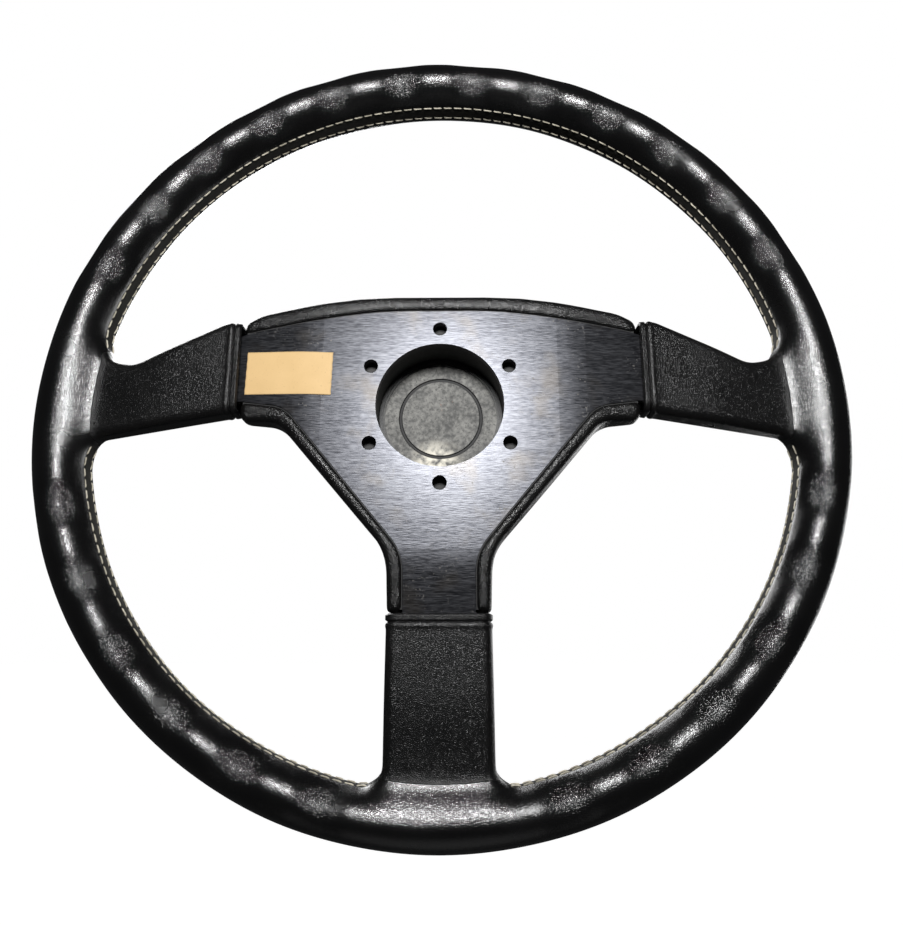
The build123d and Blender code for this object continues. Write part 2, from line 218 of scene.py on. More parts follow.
def both(first, second, radius):
    """Inside both forms, with a rounded edge where they meet."""
    over = np.hypot(np.maximum(first + radius, 0), np.maximum(second + radius, 0))
    return np.minimum(np.maximum(first, second), -radius) + over


def either(first, second, melt):
    """Inside either form, running softly into one another."""
    share = np.clip(0.5 + 0.5 * (second - first) / melt, 0, 1)
    return second + (first - second) * share - melt * share * (1 - share)


def pull_to_surface(points, field, steps):
    """Moves points along a field's slope until it is zero there."""
    flat = points.reshape(-1, 3).copy()
    nudge, longest = 0.02, 1.5
    for _ in range(steps):
        value = field(flat)
        slope = np.empty_like(flat)
        for axis in range(3):
            ahead = flat.copy()
            ahead[:, axis] += nudge
            slope[:, axis] = (field(ahead) - value) / nudge
        size = np.maximum((slope ** 2).sum(1), 0.05)
        move = slope * (value / size)[:, None]
        length = np.linalg.norm(move, axis=1, keepdims=True)
        flat -= move * np.minimum(1, longest / np.maximum(length, 1e-9))
    return flat.reshape(points.shape)


def once_round(count):
    """Evenly spaced angles, once round."""
    return np.linspace(0, TAU, count, endpoint=False)


def around_axis(radius, angle, height):
    """Points at a radius and an angle about the steering axis, and a height along it."""
    parts = np.broadcast_arrays(radius * np.cos(angle), height, radius * np.sin(angle))
    return np.stack(parts, -1)


def turned_from(angle, centre):
    """How far an angle lies from a centre, between minus and plus half a turn."""
    return (angle - centre + math.pi) % TAU - math.pi


def tube_normals(tube):
    """Normals of a tube, given as rings of points, pointing out of it."""
    along = np.gradient(tube, axis=0)
    around = (np.roll(tube, -1, 1) - np.roll(tube, 1, 1)) / 2
    normals = np.cross(along, around)
    normals = normals / np.maximum(np.linalg.norm(normals, axis=2, keepdims=True), 1e-9)
    outwards = ((tube - tube.mean(axis=1, keepdims=True)) * normals).sum()
    return normals * math.copysign(1, outwards)


def grid_faces(rows, columns, closed_rows, closed_columns, first=0):
    i = np.arange(rows if closed_rows else rows - 1)[:, None]
    j = np.arange(columns if closed_columns else columns - 1)[None, :]
    below, right = (i + 1) % rows, (j + 1) % columns
    corners = [i * columns + j, i * columns + right, below * columns + right, below * columns + j]
    return np.stack(np.broadcast_arrays(*corners), -1).reshape(-1, 4) + first


def tube_faces(rows, columns, first=0):
    """Faces of a tube made of rings of points, with its ends closed."""
    last = first + rows * columns - 1
    ends = [list(range(first, first + columns)), list(range(last, last - columns, -1))]
    return grid_faces(rows, columns, False, True, first).tolist() + ends


def add_object(name, data):
    """A new object, in the scene."""
    made = bpy.data.objects.new(name, data)
    bpy.context.scene.collection.objects.link(made)
    return made


def make_piece(name, points, faces, material, body="wheel", recalculate=True):
    """Smooth-shaded mesh object from points in millimetres, riding on a body."""
    mesh = bpy.data.meshes.new(name)
    corners = [list(face) for face in faces]
    mesh.from_pydata((np.asarray(points).reshape(-1, 3) * MM).tolist(), [], corners)
    mesh.update()
    if recalculate:
        editable = bmesh.new()
        editable.from_mesh(mesh)
        bmesh.ops.recalc_face_normals(editable, faces=editable.faces)
        editable.to_mesh(mesh)
        editable.free()
    mesh.polygons.foreach_set("use_smooth", [True] * len(mesh.polygons))
    mesh.set_sharp_from_angle(angle=50 * DEGREE)
    mesh.materials.append(material)
    piece = add_object(name, mesh)
    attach(piece, body)
    return piece


def thicken(piece):
    """Gives a skin the leather's thickness, inwards, with closed and sharp edges."""
    clean = bmesh.new()
    clean.from_mesh(piece.data)
    loose = [v for v in clean.verts if not v.link_faces]
    bmesh.ops.delete(clean, geom=loose, context="VERTS")
    for edge in clean.edges:
        if edge.is_boundary:
            edge.smooth = False
    clean.to_mesh(piece.data)
    clean.free()
    shell = piece.modifiers.new("thickness", "SOLIDIFY")
    shell.thickness = LEATHER * MM
    shell.offset = -1.0
    shell.use_rim = True


def set_values(piece, name, values):
    """Stores one number for each point, for the materials to read."""
    attribute = piece.data.attributes.new(name, "FLOAT", "POINT")
    attribute.data.foreach_set("value", np.asarray(values, np.float32).ravel())


def leather_tube(name, outer, material):
    """Closed shell round a tube of points: its outside, and its inside a leather's thickness below."""
    inner = outer - tube_normals(outer) * LEATHER
    rows, columns = outer.shape[:2]
    faces = grid_faces(2 * rows, columns, True, True)
    return make_piece(name, np.concatenate([outer, inner[::-1]]), faces, material)


def turned_piece(name, profile, material, body="wheel"):
    """Solid of revolution about the steering axis, from (radius, y) points with radii above zero."""
    radius, height = np.array(profile, float).T[:, None, :]
    segments = 160
    angle = once_round(segments)[:, None]
    faces = grid_faces(segments, len(profile), True, True)
    return make_piece(name, around_axis(radius, angle, height), faces, material, body)


def remeshed(name, nodes, voxel):
    """Points and faces of several CAD solids melted into one skin."""
    solids = bmesh.new()
    for node in nodes:
        solids.from_mesh(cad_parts[node].data)
    joined = bpy.data.meshes.new(name)
    solids.to_mesh(joined)
    solids.free()
    holder = add_object(name, joined)
    remesh = holder.modifiers.new("voxels", "REMESH")
    remesh.mode = "VOXEL"
    remesh.voxel_size = voxel * MM
    melted = holder.evaluated_get(bpy.context.evaluated_depsgraph_get()).to_mesh()
    points = np.array([v.co for v in melted.vertices]) / MM
    faces = [list(p.vertices) for p in melted.polygons]
    bpy.data.objects.remove(holder)
    return points, faces


# --- Material helpers ---
class Shader:
    """One material's nodes. Inputs given as sockets are linked, and others are set."""

    def __init__(self, name):
        self.material = bpy.data.materials.new(name)
        self.material.use_nodes = True
        self.tree = self.material.node_tree
        self.surface = self.tree.nodes["Principled BSDF"]
        self.place = self.node("ShaderNodeTexCoord", {}).outputs["Object"]

    def node(self, kind, inputs, **settings):
        made = self.tree.nodes.new(kind)
        for key, value in settings.items():
            setattr(made, key, value)
        for key, value in inputs.items():
            self.feed(made.inputs[key], value)
        return made

    def feed(self, socket, value):
        if isinstance(value, bpy.types.NodeSocket):
            self.tree.links.new(value, socket)
        elif socket.type == "RGBA":
            socket.default_value = (*value, 1.0)
        else:
            socket.default_value = value

    def finish(self, **inputs):
        for key, value in inputs.items():
            self.feed(self.surface.inputs[key.replace("_", " ")], value)
        return self.material

    def stretched(self, x, y, z):
        inputs = {"Vector": self.place, "Scale": (x, y, z)}
        return self.node("ShaderNodeMapping", inputs).outputs[0]

    def noise(self, scale, detail=2.0, place=None, output="Fac"):
        inputs = {"Vector": place or self.place, "Scale": scale, "Detail": detail}
        return self.node("ShaderNodeTexNoise", inputs).outputs[output]

    def warped(self, cell, amount):
        """Coordinates shaken by up to an amount, at about a cell's size."""
        shake = self.noise(0.6 / cell, 1.0, output="Color")
        centred = self.vector("SUBTRACT", shake, (0.5, 0.5, 0.5))
        return self.vector("ADD", self.place, self.vector("SCALE", centred, amount))

    def vector(self, operation, first, second):
        inputs = {0: first, 3 if operation == "SCALE" else 1: second}
        return self.node("ShaderNodeVectorMath", inputs, operation=operation).outputs[0]

    def cells(self, scale, place):
        """Distance to the nearest edge between cells."""
        inputs = {"Vector": place, "Scale": scale}
        made = self.node("ShaderNodeTexVoronoi", inputs, feature="DISTANCE_TO_EDGE")
        return made.outputs["Distance"]

    def ramp(self, value, start, end, low=0.0, high=1.0):
        inputs = {"Value": value, "From Min": start, "From Max": end, "To Min": low, "To Max": high}
        made = self.node("ShaderNodeMapRange", inputs, interpolation_type="SMOOTHSTEP")
        return made.outputs["Result"]

    def maths(self, operation, first, second=0.0):
        return self.node("ShaderNodeMath", {0: first, 1: second}, operation=operation).outputs[0]

    def plus(self, first, second):
        return self.maths("ADD", first, second)

    def times(self, first, second):
        return self.maths("MULTIPLY", first, second)

    def mix(self, share, first, second):
        made = self.node("ShaderNodeMix", {}, data_type="RGBA")
        self.feed(made.inputs[0], share)
        self.feed(made.inputs[6], first)
        self.feed(made.inputs[7], second)
        return made.outputs[2]

    def bump(self, height, depth, strength=1.0):
        inputs = {"Height": height, "Distance": depth * MM, "Strength": strength}
        return self.node("ShaderNodeBump", inputs).outputs[0]

    def value(self, name):
        """A number stored for each point of the piece."""
        return self.node("ShaderNodeAttribute", {}, attribute_name=name).outputs["Fac"]

    def length(self, vector):
        return self.node("ShaderNodeVectorMath", {0: vector}, operation="LENGTH").outputs[1]

    def from_axis(self):
        """Distance from the steering axis."""
        return self.length(self.vector("MULTIPLY", self.place, (1, 0, 1)))

    def away_from(self, x, y, z, stretch=(1, 1, 1)):
        """Distance from a place in millimetres, stretched along the axes."""
        offset = self.vector("SUBTRACT", self.place, (x * MM, y * MM, z * MM))
        return self.length(self.vector("MULTIPLY", offset, stretch))


def grain(shader, cell, depth, strength=1.0):
    """Leather pebbles of about a cell's size, with pores: (height in the pebbles, normal)."""
    place = shader.warped(cell * MM, 0.5 * cell * MM)
    pebbles = shader.ramp(shader.cells(1 / (cell * MM), place), 0.0, 0.32)
    folds = shader.noise(0.28 / (cell * MM), 3.0)
    pores = shader.noise(2.2 / (cell * MM), 2.0)
    height = shader.plus(pebbles, shader.times(folds, 1.2))
    height = shader.plus(height, shader.times(pores, 0.9))
    return pebbles, shader.bump(height, depth, strength)


def rim_leather():
    """Grip leather: polished on the ridges, grained in the dips, matt in the sewn strip."""
    s = Shader("rim_leather")
    dip, strip = s.value("dip"), s.value("strip")
    pebbles, normal = grain(s, 0.75, 0.11, s.ramp(dip, 0.0, 1.0, 0.34, 0.74))
    patches = s.noise(38, 3.0)
    base = s.mix(patches, (0.0022, 0.0022, 0.0025), (0.0045, 0.0044, 0.0045))
    base = s.mix(s.ramp(pebbles, 0.0, 0.5, 0.5, 0.0), base, (0.002, 0.002, 0.002))
    base = s.mix(strip, base, (0.024, 0.023, 0.020))
    rough = s.ramp(patches, 0.35, 0.7, 0.22, 0.28)
    rough = s.plus(rough, s.times(strip, 0.45))
    return s.finish(Base_Color=base, Roughness=rough, Normal=normal,
                    Specular_IOR_Level=s.ramp(strip, 0.0, 1.0, 0.75, 0.15))


def grained_leather(name, cell, depth, rough_low, rough_high, dark, light):
    """Leather with an even grain, shinier in patches."""
    s = Shader(name)
    pebbles, normal = grain(s, cell, depth)
    patches = s.noise(45, 3.0)
    base = s.mix(patches, dark, light)
    base = s.mix(s.ramp(pebbles, 0.0, 0.6, 0.6, 0.0), base, (0.002, 0.002, 0.002))
    rough = s.ramp(patches, 0.3, 0.7, rough_low, rough_high)
    return s.finish(Base_Color=base, Roughness=rough, Normal=normal)


def brushed_plate():
    """Black anodised aluminium, brushed along X, with dust, stains and painted shade on the walls of its
    holes near the hub.
    """
    s = Shader("plate_aluminium")
    fine = s.noise(1.0, 3.0, s.stretched(260, 400, 2900))
    broad = s.noise(1.0, 2.0, s.stretched(60, 60, 700))
    streaks = s.plus(s.times(fine, 0.7), s.times(broad, 0.3))
    worn = s.ramp(streaks, 0.34, 0.66)
    base = s.mix(worn, (0.030, 0.031, 0.036), (0.092, 0.094, 0.103))
    stains = s.ramp(s.noise(55, 4.0), 0.5, 0.72)
    base = s.mix(s.times(stains, 0.45), base, (0.075, 0.066, 0.055))
    specks = s.ramp(s.noise(900, 2.0), 0.62, 0.72)
    dusty = s.times(specks, s.ramp(s.noise(60, 2.0), 0.42, 0.62))
    base = s.mix(s.times(dusty, 0.5), base, (0.20, 0.19, 0.17))
    # Painted shade: the walls of the bore and bolt holes near the hub, below the plate's back face, are
    # painted near black.
    height = s.node("ShaderNodeSeparateXYZ", {0: s.place}).outputs[1]
    depth = s.maths("SUBTRACT", plate_high[1] * MM, height)
    near_hub = s.ramp(s.from_axis(), 50 * MM, 51 * MM, 1.0, 0.0)
    painted_hole_shade = s.times(near_hub, s.ramp(depth, 0.3 * MM, 0.6 * MM))
    base = s.mix(painted_hole_shade, base, (0.008, 0.008, 0.009))
    rough = s.ramp(streaks, 0.25, 0.75, 0.28, 0.37)
    rough = s.plus(rough, s.times(dusty, 0.3))
    return s.finish(Base_Color=base, Metallic=0.92, Roughness=rough, Normal=s.bump(streaks, 0.06))


def dusty_steel():
    """The horn push's back plate: dull plated steel, dusty, with rust near its middle, painted light paling
    its lower part and painted shade blacking its ring groove.
    """
    s = Shader("back_plate_steel")
    mottle = s.plus(s.times(s.noise(520, 6.0), 0.6), s.times(s.noise(110, 3.0), 0.4))
    grey = s.mix(s.ramp(mottle, 0.34, 0.66), (0.045, 0.045, 0.043), (0.20, 0.197, 0.183))
    specks = s.ramp(s.noise(1100, 2.0), 0.56, 0.68)
    base = s.mix(s.times(specks, 0.8), grey, (0.04, 0.039, 0.035))
    ragged = s.times(s.noise(420, 4.0), 12 * MM)
    away = s.away_from(-3.5, 0, 6.5, (0.5, 0.2, 1.0))
    rust = s.ramp(s.plus(away, ragged), 6.5 * MM, 9.8 * MM, 0.9, 0.0)
    stipple = s.ramp(s.noise(800, 2.0), 0.40, 0.55)
    base = s.mix(s.times(rust, stipple), base, (0.42, 0.12, 0.04))
    # Painted light: the lower part of the plate is paled by a mottled patch of painted light.
    low = s.ramp(s.away_from(2, disc_high[1], -23), 4 * MM, 15 * MM, 0.95, 0.0)
    pale = s.times(low, s.ramp(s.noise(300, 3.0), 0.3, 0.6))
    base = s.mix(pale, base, (0.74, 0.70, 0.60))
    # Painted shade: a near-black ring is painted along the groove.
    from_groove = s.maths("ABSOLUTE", s.maths("SUBTRACT", s.from_axis(), GROOVE_RADIUS * MM))
    groove = s.ramp(from_groove, 0.65 * MM, 1.05 * MM, 0.99, 0.0)
    base = s.mix(groove, base, (0.006, 0.006, 0.006))
    return s.finish(Base_Color=base, Metallic=0.2, Roughness=s.ramp(rust, 0, 1, 0.6, 0.85),
                    Normal=s.bump(s.noise(1200, 3.0), 0.08, 0.8))


def metal(name, tint, roughness):
    """Bare metal with a fine mottle."""
    s = Shader(name)
    mottle = s.noise(900, 3.0)
    base = s.mix(s.ramp(mottle, 0.3, 0.7), [c * 0.8 for c in tint], tint)
    rough = s.ramp(mottle, 0.3, 0.7, roughness, roughness + 0.12)
    return s.finish(Base_Color=base, Metallic=0.9, Roughness=rough, Normal=s.bump(mottle, 0.02, 0.5))


def plastic(name, tint, rough, depth=0.05):
    """Moulded plastic or foam with a fine matt texture."""
    s = Shader(name)
    texture = s.noise(1500, 2.0)
    base = s.mix(s.noise(90, 3.0), tint, [c * 1.5 for c in tint])
    return s.finish(Base_Color=base, Roughness=s.ramp(texture, 0.3, 0.7, rough, rough + 0.1),
                    Normal=s.bump(texture, depth, 0.6))


def spun_insert():
    """Black aluminium turned on a lathe: fine rings about the steering axis."""
    s = Shader("horn_insert")
    rings = s.maths("SINE", s.times(s.from_axis(), TAU / (0.45 * MM)))
    tone = s.ramp(s.noise(300, 3.0), 0.3, 0.7)
    base = s.mix(tone, (0.03, 0.03, 0.033), (0.06, 0.06, 0.065))
    return s.finish(Base_Color=base, Metallic=0.9, Roughness=s.ramp(rings, -1, 1, 0.26, 0.36),
                    Normal=s.bump(rings, 0.012, 0.7))


def thread_material():
    s = Shader("cream_thread")
    fibres = s.noise(2500, 2.0)
    dirt = s.ramp(s.noise(70, 3.0), 0.42, 0.62)
    base = s.mix(fibres, (0.46, 0.42, 0.33), (0.80, 0.75, 0.62))
    base = s.mix(s.times(dirt, 0.6), base, (0.20, 0.18, 0.13))
    return s.finish(Base_Color=base, Roughness=0.8, Normal=s.bump(fibres, 0.08, 0.8))


def label_paper():
    """Blank tan paper, mottled, with dirt along its edges."""
    s = Shader("label_paper")
    fibres = s.noise(1400, 4.0)
    mottle = s.noise(120, 4.0)
    base = s.mix(mottle, (0.64, 0.43, 0.19), (0.73, 0.50, 0.235))
    base = s.mix(s.ramp(fibres, 0.62, 0.75, 0.0, 0.35), base, (0.30, 0.19, 0.08))
    base = s.mix(s.ramp(s.value("edge"), 0.0, 1.0, 0.0, 0.55), base, (0.36, 0.24, 0.10))
    return s.finish(Base_Color=base, Roughness=0.62, Normal=s.bump(fibres, 0.04, 0.6))


def floor_material():
    """Plain pale floor that gives its own light, so that it stays even."""
    s = Shader("pale_floor")
    shade = s.mix(s.noise(3, 2.0), (0.985, 0.985, 0.985), (1.0, 1.0, 1.0))
    return s.finish(Base_Color=(0.3, 0.3, 0.3), Roughness=0.9,
                    Emission_Color=shade, Emission_Strength=1.0)


# --- Grip ---
def dip_shape(angle, phi):
    """How much of a finger dip there is at a place on the grip, from 0 to 1."""
    top = turned_from(angle, math.pi / 2 + DIP_PHASE)
    bottom = np.abs(turned_from(angle, DIP_PHASE - math.pi / 2))
    wave = 0.5 - 0.5 * np.cos(TAU * top / DIP_PITCH)
    in_top = np.abs(top) < DIPS_EACH_SIDE * DIP_PITCH
    past = bottom - FIRST_BOTTOM_DIP + DIP_PITCH / 2
    low_wave = 0.5 - 0.5 * np.cos(TAU * past / DIP_PITCH)
    in_bottom = (past > 0) & (past < DIPS_EACH_SIDE * DIP_PITCH)
    reach = np.where(np.asarray(phi) < DIP_CENTRE, DIP_REACH_OUT, DIP_REACH_IN)
    across = bump_shape(phi, DIP_CENTRE, reach)
    return 1.05 * smooth_step(wave * in_top + low_wave * in_bottom, 0.06, 1.2) * across


def into_window(angle):
    """Distance along the grip past a sewn range's nearest end, negative at the arms."""
    deepest = np.full(np.shape(angle), -1e3)
    for start, end in SEAM_WINDOWS.values():
        away = np.abs(turned_from(angle, (start + end) / 2))
        deepest = np.maximum(deepest, ((end - start) / 2 - away) * RIM_RADIUS)
    return deepest


def flare(angle):
    """How far the grip's inner side runs in towards the hub, ending sooner beside the bottom arm."""
    reach = np.where(np.sin(angle) < -0.9, 4.0, 12.0)
    return FLARE * (1 - smooth_step(into_window(angle), -14, reach))


def strip_shape(angle, phi):
    """How much of the sewn strip there is at a place on the grip, from 0 to 1."""
    offset = np.abs(phi - SEAM_CENTRE) * HALF_AXIAL
    across = 1 - smooth_step(offset, SEAM_ROW - 0.45, SEAM_ROW + 0.15)
    return across * smooth_step(into_window(angle), -0.5, 1.2)


def pucker(angle, phi):
    """Small pulls of the thread beside the sewn strip."""
    offset = np.abs(phi - SEAM_CENTRE) * HALF_AXIAL
    beside = np.exp(-((offset - SEAM_ROW) / 0.8) ** 2)
    swell = np.exp(-((offset - SEAM_ROW - 2.2) / 1.3) ** 2)
    wave = 0.5 + 0.5 * np.cos(angle * (RIM_RADIUS - HALF_RADIAL) * TAU / STITCH_PITCH)
    sewn = smooth_step(into_window(angle), -1, 2)
    return sewn * (beside * (0.12 + 0.12 * wave) - 0.10 * swell)


def grip_inwards(angle, phi):
    """How far the grip's surface lies inside its plain section."""
    unevenness = 0.10 * np.sin(7 * angle + 2 * phi) + 0.07 * np.sin(17 * angle - 3 * phi + 1)
    pressed = DIP_DEPTH * dip_shape(angle, phi) + SEAM_RECESS * strip_shape(angle, phi)
    return GRIP_SLACK + unevenness + pressed + pucker(angle, phi)


def grip_surface(angle, phi, inset=0.0):
    """Points of the grip's surface, drawn smaller by an inset."""
    inwards = inset + grip_inwards(angle, phi)
    towards_hub = flare(angle) * np.maximum(-np.cos(phi), 0) ** 3
    radial = RIM_RADIUS + (HALF_RADIAL - inwards) * np.cos(phi) - towards_hub
    return around_axis(radial, angle, RIM_Y + (HALF_AXIAL - inwards) * np.sin(phi))


def share_across(radial, half, nose):
    """Where a place lies across the grip: -1 at the inner side with its nose, 1 at the outer."""
    nose = np.maximum(nose, 0.01)
    bend = np.arcsinh(1.5 * np.abs(radial) / half * np.sqrt(3 * nose / half)) / 3
    inner = 2 * np.sqrt(half / (3 * nose)) * np.sinh(bend)
    return np.where(radial < 0, -inner, radial / half)


def grip_distance(points):
    """Distance to the grip's surface, negative inside."""
    radial = np.hypot(points[:, 0], points[:, 2]) - RIM_RADIUS
    height = points[:, 1] - RIM_Y
    angle = np.arctan2(points[:, 2], points[:, 0])
    nose = flare(angle)
    phi = np.arctan2(height / HALF_AXIAL, share_across(radial, HALF_RADIAL, nose)) % TAU
    inwards = grip_inwards(angle, phi)
    wide, tall = HALF_RADIAL - inwards, HALF_AXIAL - inwards
    across = share_across(radial, wide, nose)
    level = np.maximum(np.hypot(across, height / tall), 1e-6)
    stretch = wide + 3 * nose * across ** 2 * (radial < 0)
    slope = np.hypot(across / stretch, height / tall ** 2) / level
    return (level - 1) / slope


def section_angles():
    """Places round the grip's section, closer together at the sewn strip."""
    fine = np.linspace(-4.2, 4.2, 34) / HALF_AXIAL + SEAM_CENTRE
    coarse = np.linspace(fine[-1], fine[0] + TAU, 76)[1:-1]
    return np.concatenate([fine, coarse % TAU])


def flange(points, angle):
    """Runs the grip's surface out along the arms: (points, how deep each one lay inside an arm)."""
    depth = np.full(points.shape[:2], 1e3)
    for arm in ARMS.values():
        near = np.abs(turned_from(angle[:, 0], arm["angle"])) < 20 * DEGREE
        if near.any():
            slab, joined = arm_fields(arm)

            def under_sleeve(places):
                radius = np.hypot(places[:, 0], places[:, 2])
                return joined(places) + TUCK * (1 - smooth_step(radius, SLEEVE_END - 1.8, SLEEVE_END - 0.3))

            depth[near] = slab(points[near].reshape(-1, 3)).reshape(near.sum(), -1)
            points[near] = pull_to_surface(points[near], under_sleeve, 8)
    return points, depth


def build_grip(material):
    """The grip's leather in three panels, open where the arms run into it."""
    seam = math.asin(max(upper_low[2], 0.0) / RIM_RADIUS)
    panels = {
        "upper": (seam, math.pi - seam),
        "lower_left": (math.pi - seam, 1.5 * math.pi),
        "lower_right": (-0.5 * math.pi, seam),
    }
    phi = section_angles()[None, :]
    for side, (start, end) in panels.items():
        steps = round((end - start) / GRIP_STEP)
        angle = np.linspace(start, end, steps + 1)[:, None]
        points, depth = flange(grip_surface(angle, phi), angle)
        faces = grid_faces(steps + 1, phi.size, False, True)
        open_faces = faces[(depth.ravel()[faces] > -OPENING_DEPTH).all(axis=1)]
        piece = make_piece("grip_leather_" + side, points, open_faces, material, recalculate=False)
        set_values(piece, "dip", dip_shape(angle, phi))
        set_values(piece, "strip", strip_shape(angle, phi))
        thicken(piece)
        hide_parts("rim_leather_" + side)


def build_grip_foam(material):
    """Moulded foam under the leather, with the same dips and a channel for the steel ring."""
    rings, sides = 720, 48
    angle = once_round(rings)[:, None]
    phi = once_round(sides)[None, :]
    outside = grip_surface(angle, phi, LEATHER + 0.08)
    wire = CORE_WIRE + 0.1
    channel = around_axis(RIM_RADIUS + wire * np.cos(phi), angle, RIM_Y + wire * np.sin(phi))
    faces = grid_faces(rings, sides, True, True)
    inner = grid_faces(rings, sides, True, True, rings * sides)[:, ::-1]
    piece = make_piece("grip_foam", np.concatenate([outside, channel]), np.concatenate([faces, inner]),
                       material, recalculate=False)
    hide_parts("rim_foam")


# --- Stitches ---
def thread_stitch(start, end, out):
    """One stitch: a short two-ply thread that rises from the leather and dives back into it."""
    lift, steps, sides = 0.22, 8, 8
    along = end - start
    direction = unit(along)
    side = unit(np.cross(direction, out))
    up = np.cross(side, direction)
    rings = []
    for t in np.linspace(0, 1, steps + 1):
        height = lift - 0.5 * abs(2 * t - 1) ** 6
        turn = once_round(sides)
        radius = THREAD_RADIUS * (1 + 0.16 * np.cos(2 * turn - 9 * t)) * (1 - 0.3 * abs(2 * t - 1) ** 4)
        ring = np.outer(np.cos(turn) * radius, side) + np.outer(np.sin(turn) * radius, up)
        rings.append(start + along * t + up * height + ring)
    return np.array(rings)


def stitches_mesh(name, stitches, material):
    """Joins stitches, each a tube of rings with closed ends, into one piece."""
    points, faces, first = [], [], 0
    for rings in stitches:
        rows, columns = rings.shape[:2]
        points.append(rings.reshape(-1, 3))
        faces += tube_faces(rows, columns, first)
        first += rows * columns
    return make_piece(name, np.concatenate(points), faces, material)


def seam_place(angle, offset):
    """A point beside the seam's middle and the way out of the leather there."""
    phi = SEAM_CENTRE + offset / HALF_AXIAL
    place = grip_surface(np.array(angle), np.array(phi))
    out = -np.array([math.cos(angle), 0.0, math.sin(angle)]) * abs(math.cos(phi))
    return place, unit(out + np.array([0, math.sin(phi), 0]) * HALF_RADIAL / HALF_AXIAL)


def seam_stitch(first, second):
    """A stitch between two places of a seam, each given as an angle and an offset."""
    start, out = seam_place(*first)
    end, _ = seam_place(*second)
    return thread_stitch(start, end, out)


def build_stitches(material):
    """Two rows of slanted stitches along each seam, and a few across its ends."""
    inner_radius = RIM_RADIUS - HALF_RADIAL
    dash = STITCH_LENGTH / inner_radius
    for side, (start, end) in SEAM_WINDOWS.items():
        stitches = []
        count = round((end - start) * inner_radius / STITCH_PITCH)
        pitch = (end - start) / count
        for row in (-SEAM_ROW, SEAM_ROW):
            for k in range(count):
                begin = start + (k + 0.07) * pitch
                stitches.append(seam_stitch((begin, row - STITCH_SLANT), (begin + dash, row + STITCH_SLANT)))
        for place, way in ((start, 1), (end, -1)):
            for k in range(END_STITCHES):
                low = place - way * (0.3 + 0.6 * k) / inner_radius
                high = low + way * 0.3 / inner_radius
                stitches.append(seam_stitch((low, -SEAM_ROW - 0.5), (high, SEAM_ROW + 0.5)))
        piece = stitches_mesh("seam_stitches_" + side, stitches, material)


# --- Spoke sleeves ---
def arm_slope(bend):
    """How steeply an arm of the plate leans back from its bend to the rim's middle."""
    return (-RIM_Y - (PLATE + LUG) / 2) / (RIM_RADIUS - CORE_WIRE - bend)


def side_arm_outline():
    """Sleeve of a side arm, running on past both of its ends so that only its sides are rounded."""
    upper = [(76, 36.3), (95, 39.2), (138, 21.4), (150, 24), (162, 38), (172, 46)]
    corners = upper + [(172, -24), (162, -17), (152, -11.5), (112, -6.0), (76, -1.2)]
    return rounded_polygon(corners, [1.5, 9, 14, 16, 3, 3, 3, 3, 8, 90, 1.5])


def bottom_arm_outline():
    half = [(76, 21.2), (151, 22.6), (163, 30), (172, 36)]
    corners = half + [(u, -w) for u, w in reversed(half)]
    radii = [1.5, 10, 3, 3]
    return rounded_polygon(corners, radii + radii[::-1])


def side_arm(direction, angle):
    return {"along": (direction, 0, 0), "across": (0, 0, 1), "angle": angle, "bend": SIDE_BEND,
            "start": sleeve_low[0], "hub_end": sleeve_high[1], "outline": side_arm_outline()}


ARMS = {
    "right": side_arm(1, 0.0),
    "left": side_arm(-1, math.pi),
    "bottom": {"along": (0, 0, -1), "across": (1, 0, 0), "angle": 1.5 * math.pi, "bend": BOTTOM_BEND,
               "start": -bottom_high[2], "hub_end": bottom_high[1], "outline": bottom_arm_outline()},
}


def arm_frame(arm):
    """An arm's directions along and across, its slope, and how far its sleeve stands behind it."""
    slope = arm_slope(arm["bend"])
    back = arm["hub_end"] + slope * (arm["start"] - arm["bend"])
    return np.array(arm["along"], float), np.array(arm["across"], float), slope, back


def arm_fields(arm):
    """Distance-like forms of one sleeve: alone, and run into the grip."""
    along, across, slope, back = arm_frame(arm)

    def slab(points):
        u, w = points @ along, points @ across
        rise = back - ARM_SINK * smooth_step(u, 118, 154)
        middle = -slope * (u - arm["bend"]) + (rise - SLEEVE_FRONT) / 2
        thick = np.abs(points[:, 1] - middle) - (rise + SLEEVE_FRONT) / 2
        return both(outline_distance(u, w, arm["outline"]), thick, SLEEVE_EDGE)

    def joined(points):
        return either(slab(points), grip_distance(points), SLEEVE_MELT)

    return slab, joined


def outline_limits(outline, u):
    """Lowest and highest place across an outline at a distance along it."""
    low, high = 1e9, -1e9
    for (au, aw), (bu, bw) in edges_of(outline):
        if min(au, bu) <= u <= max(au, bu) and au != bu:
            w = aw + (bw - aw) * (u - au) / (bu - au)
            low, high = min(low, w), max(high, w)
    return low, high


def rounded_ring(low, high, bottom, top, radius, count):
    """Evenly spaced points round a rounded rectangle, as (across, y)."""
    corners = [(low, bottom), (high, bottom), (high, top), (low, top)]
    outline = rounded_polygon(corners, [radius] * 4, 9 * DEGREE)
    closed = np.vstack([outline, outline[:1]])
    lengths = np.concatenate([[0], np.cumsum(np.linalg.norm(np.diff(closed, axis=0), axis=1))])
    at = np.linspace(0, lengths[-1], count, endpoint=False)
    return np.stack([np.interp(at, lengths, closed[:, 0]), np.interp(at, lengths, closed[:, 1])], -1)


